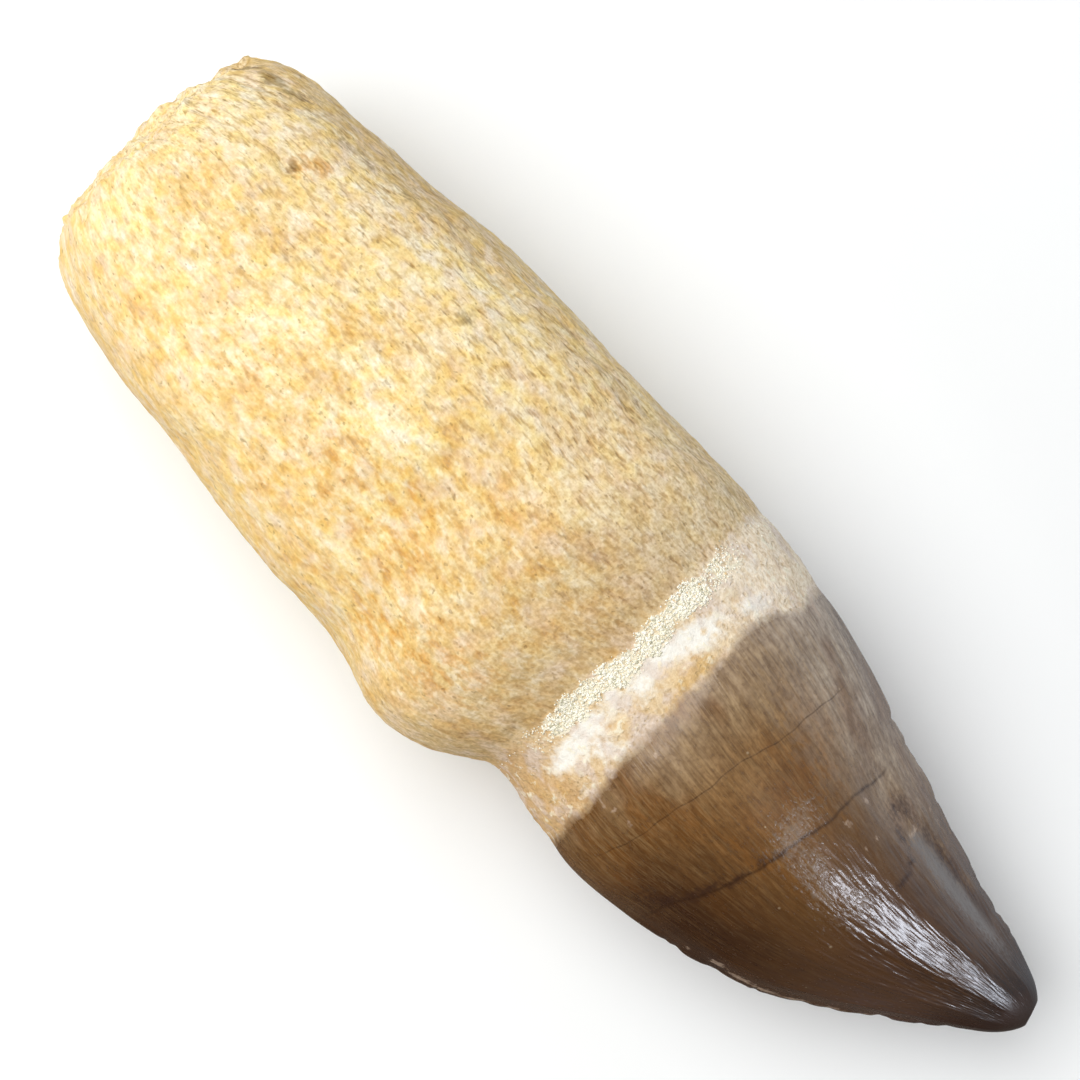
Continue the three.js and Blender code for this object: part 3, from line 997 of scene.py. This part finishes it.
grit = {
    "shapes": 3,
    "radius": 0.18,
    "roughness": 0.4,
    "flattened": (1.0, 0.85, 0.7),
    "scale": (0.6, 1.5),
    "sizeWhereSparse": 0.5,
    "apart": 0.13,
    "perSquareMm": 80,
    "turn": 6.28,
    "tones": [
        (0.0, "b3b19a"), (0.06, "d3d1bc"), (0.2, "e6e3d2"), (0.5, "efeee1"), (0.96, "f6f5ee"),
        (1.0, "d8bb88"),
    ],
    "gloss": 0.5,
    "ior": 1.54,
}


def makeGrain(number):
    bpy.ops.object.select_all(action="DESELECT")
    bpy.ops.mesh.primitive_ico_sphere_add(subdivisions=1, radius=grit["radius"] * mm)
    grain = bpy.context.object
    grain.name = f"grain{number}"
    bpy.ops.object.mode_set(mode="EDIT")
    bpy.ops.mesh.select_all(action="SELECT")
    bpy.ops.transform.vertex_random(offset=grit["roughness"] * grit["radius"] * mm, seed=number)
    bpy.ops.transform.resize(value=grit["flattened"], center_override=(0, 0, 0))
    bpy.ops.object.mode_set(mode="OBJECT")
    return grain


def gritScatter(grains):
    # grains strewn over the band, each turned and sized by chance, with a tone of its own
    tree = bpy.data.node_groups.new("gritScatter", "GeometryNodeTree")
    for way in ("INPUT", "OUTPUT"):
        tree.interface.new_socket(name="Geometry", in_out=way, socket_type="NodeSocketGeometry")
    given = addNode(tree, "NodeGroupInput")
    share = addNode(tree, "GeometryNodeInputNamedAttribute", {"Name": "gritShare"}, data_type="FLOAT")
    spread = {
        "Mesh": given,
        "Distance Min": grit["apart"] * mm,
        "Density Max": grit["perSquareMm"] / mm**2,
        "Density Factor": share,
        "Seed": 3,
    }
    points = addNode(tree, "GeometryNodeDistributePointsOnFaces", spread, distribute_method="POISSON")
    everyGrain = {"Collection": grains, "Separate Children": True, "Reset Children": True}
    choices = addNode(tree, "GeometryNodeCollectionInfo", everyGrain)
    turns = {"Max": (grit["turn"],) * 3, "Seed": 1}
    turn = addNode(tree, "FunctionNodeRandomValue", turns, data_type="FLOAT_VECTOR")
    sizes = {"Min": grit["scale"][0], "Max": grit["scale"][1], "Seed": 2}
    size = addNode(tree, "FunctionNodeRandomValue", sizes, data_type="FLOAT")
    crowding = addNode(tree, "remap", {"Value": share, "To Min": grit["sizeWhereSparse"]})
    size = addNode(tree, "math", {0: size, 1: crowding}, operation="MULTIPLY")
    copies = {
        "Points": points.outputs["Points"],
        "Instance": choices,
        "Pick Instance": True,
        "Rotation": turn,
        "Scale": size,
    }
    strewn = addNode(tree, "GeometryNodeInstanceOnPoints", copies)
    tone = addNode(tree, "FunctionNodeRandomValue", {"Min": 0.0, "Max": 1.0, "Seed": 4}, data_type="FLOAT")
    toned = addNode(
        tree,
        "GeometryNodeStoreNamedAttribute",
        {"Geometry": strewn, "Name": "tone", "Value": tone},
        data_type="FLOAT",
        domain="INSTANCE",
    )
    real = addNode(tree, "GeometryNodeRealizeInstances", {"Geometry": toned})
    addNode(tree, "NodeGroupOutput", {"Geometry": real})
    return tree


def cementedSand():
    # quartz and phosphate sand in a thin green-grey cement, a little glassy grain by grain
    material, tree = newMaterial("cementedSand")
    tone = addNode(tree, "attribute", attribute_name="tone").outputs["Fac"]
    colour = addNode(tree, "ramp", {"Fac": tone}, stops=grit["tones"])
    surface = {"Base Color": colour, "Roughness": grit["gloss"], "IOR": grit["ior"]}
    addNode(tree, "output", {"Surface": addNode(tree, "shader", surface)})
    return material


def strewGrit():
    grains = bpy.data.collections.new("grains")
    bpy.context.scene.collection.children.link(grains)
    shapes = [makeGrain(number) for number in range(grit["shapes"])]
    for shape in shapes:
        bpy.context.scene.collection.objects.unlink(shape)
        grains.objects.link(shape)
    piece = bpy.data.objects.new("neckGrit", fossilTooth.data.copy())
    bpy.context.scene.collection.objects.link(piece)
    piece.data.materials.clear()
    modifier = piece.modifiers.new("strew", "NODES")
    modifier.node_group = gritScatter(grains)
    applyModifiers(piece)
    for shape in shapes:
        bpy.data.objects.remove(shape)
    bpy.data.collections.remove(grains)
    piece.data.materials.clear()
    piece.data.materials.append(cementedSand())
    kept = ("tone", "position")
    attributes = piece.data.attributes
    spare = [a.name for a in attributes if a.name not in kept and not (a.is_internal or a.is_required)]
    for name in spare:
        attributes.remove(attributes[name])
    print("grit faces", len(piece.data.polygons))
    return piece


neckGrit = strewGrit()
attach(neckGrit, "root")
print("grit strewn")


studio = {
    "floorSize": 4.0,  # in metres, as are the lamps' distances and sizes
    "floor": "f1f6fc",
    "floorRoughness": 0.95,
    "brightWay": (0.1, 0.98, -0.17),  # the brightest is low on the +Y side; overhead and -Y are dim
    "air": [
        (0.0, "2e231c"), (0.35, "544b44"), (0.6, "77736f"), (0.8, "8e9195"), (0.92, "b2b8c1"),
        (1.0, "e2e8f0"),
    ],
    "airStrength": 1.25,
    # Each lamp: the way to it, its distance, sizes, power and colour, and whether what it lights
    # shows in matt tones, in glints or in both.
    "lamps": {
        "windowLight": ((-0.4, -0.1, 1.0), 0.9, (1.0, 1.0), 10.4, "fffcf6", "both"),
        "sideFill": ((-0.5, -1.0, 0.25), 0.8, (0.9, 0.9), 3.0, "fffaf0", "tones"),
        "glintLight": ((0.86, 0.047, 0.51), 0.51, (0.09, 0.14), 1.2, "e3ebf9", "glints"),
    },
}


def softFloor():
    # matt white paper, which scatters all its light
    bpy.ops.object.select_all(action="DESELECT")
    bpy.ops.mesh.primitive_plane_add(size=studio["floorSize"])
    floor = bpy.context.object
    floor.name = "paperFloor"
    material, tree = newMaterial("mattPaper")
    surface = {"Base Color": studio["floor"], "Roughness": studio["floorRoughness"]}
    addNode(tree, "output", {"Surface": addNode(tree, "shader", surface)})
    floor.data.materials.append(material)
    floor.visible_glossy = False  # the crown's polish shows the room's walls and not the paper


def addSoftbox(name, direction, distance, sizes, power, colour, lights):
    light = bpy.data.lights.new(name, "AREA")
    light.shape = "ELLIPSE"
    light.size, light.size_y = sizes
    light.energy = power
    light.color = hexColour(colour)[:3]
    lamp = bpy.data.objects.new(name, light)
    lamp.location = Vector(direction).normalized() * distance
    lamp.rotation_euler = Vector(direction).to_track_quat("Z", "Y").to_euler()
    lamp.visible_diffuse = lights != "glints"
    lamp.visible_glossy = lights != "tones"
    bpy.context.scene.collection.objects.link(lamp)


def setStudio():
    world = bpy.data.worlds.new("studioAir")
    world.use_nodes = True
    tree = world.node_tree
    tree.nodes.clear()
    direction = addNode(tree, "coordinates").outputs["Generated"]
    facing = {0: direction, 1: studio["brightWay"]}
    towardsWall = addNode(tree, "ShaderNodeVectorMath", facing, operation="DOT_PRODUCT")
    share = addNode(tree, "remap", {"Value": towardsWall, "From Min": -1, "From Max": 1})
    air = addNode(tree, "ramp", {"Fac": share}, stops=studio["air"])
    background = addNode(tree, "background", {"Color": air, "Strength": studio["airStrength"]})
    addNode(tree, "ShaderNodeOutputWorld", {"Surface": background})
    bpy.context.scene.world = world
    for name, rules in studio["lamps"].items():
        addSoftbox(name, *rules)
    view = bpy.context.scene.view_settings
    view.view_transform = "Standard"
    view.look = "None"


cameraSet = {
    "height": 330,  # over the resting surface
    "lens": 97.0,
    "sensor": 36,
    "nearest": 10,
    "turn": 46.46,  # degrees between the tooth's axis and the picture's right
    "station": 60.9,  # what is in the middle of the picture
    "side": 3.08,
}


def addCamera():
    camera = bpy.data.cameras.new("camera")
    camera.lens = cameraSet["lens"]
    camera.sensor_width = cameraSet["sensor"]
    camera.clip_start = cameraSet["nearest"] * mm
    holder = bpy.data.objects.new("camera", camera)
    middleX = tipX + (cameraSet["station"] - toothLength) * mm
    holder.location = (middleX, cameraSet["side"] * mm, cameraSet["height"] * mm)
    holder.rotation_euler = (0, 0, math.radians(cameraSet["turn"]))
    bpy.context.scene.collection.objects.link(holder)
    bpy.context.scene.camera = holder


softFloor()
setStudio()
addCamera()
print("studio set")
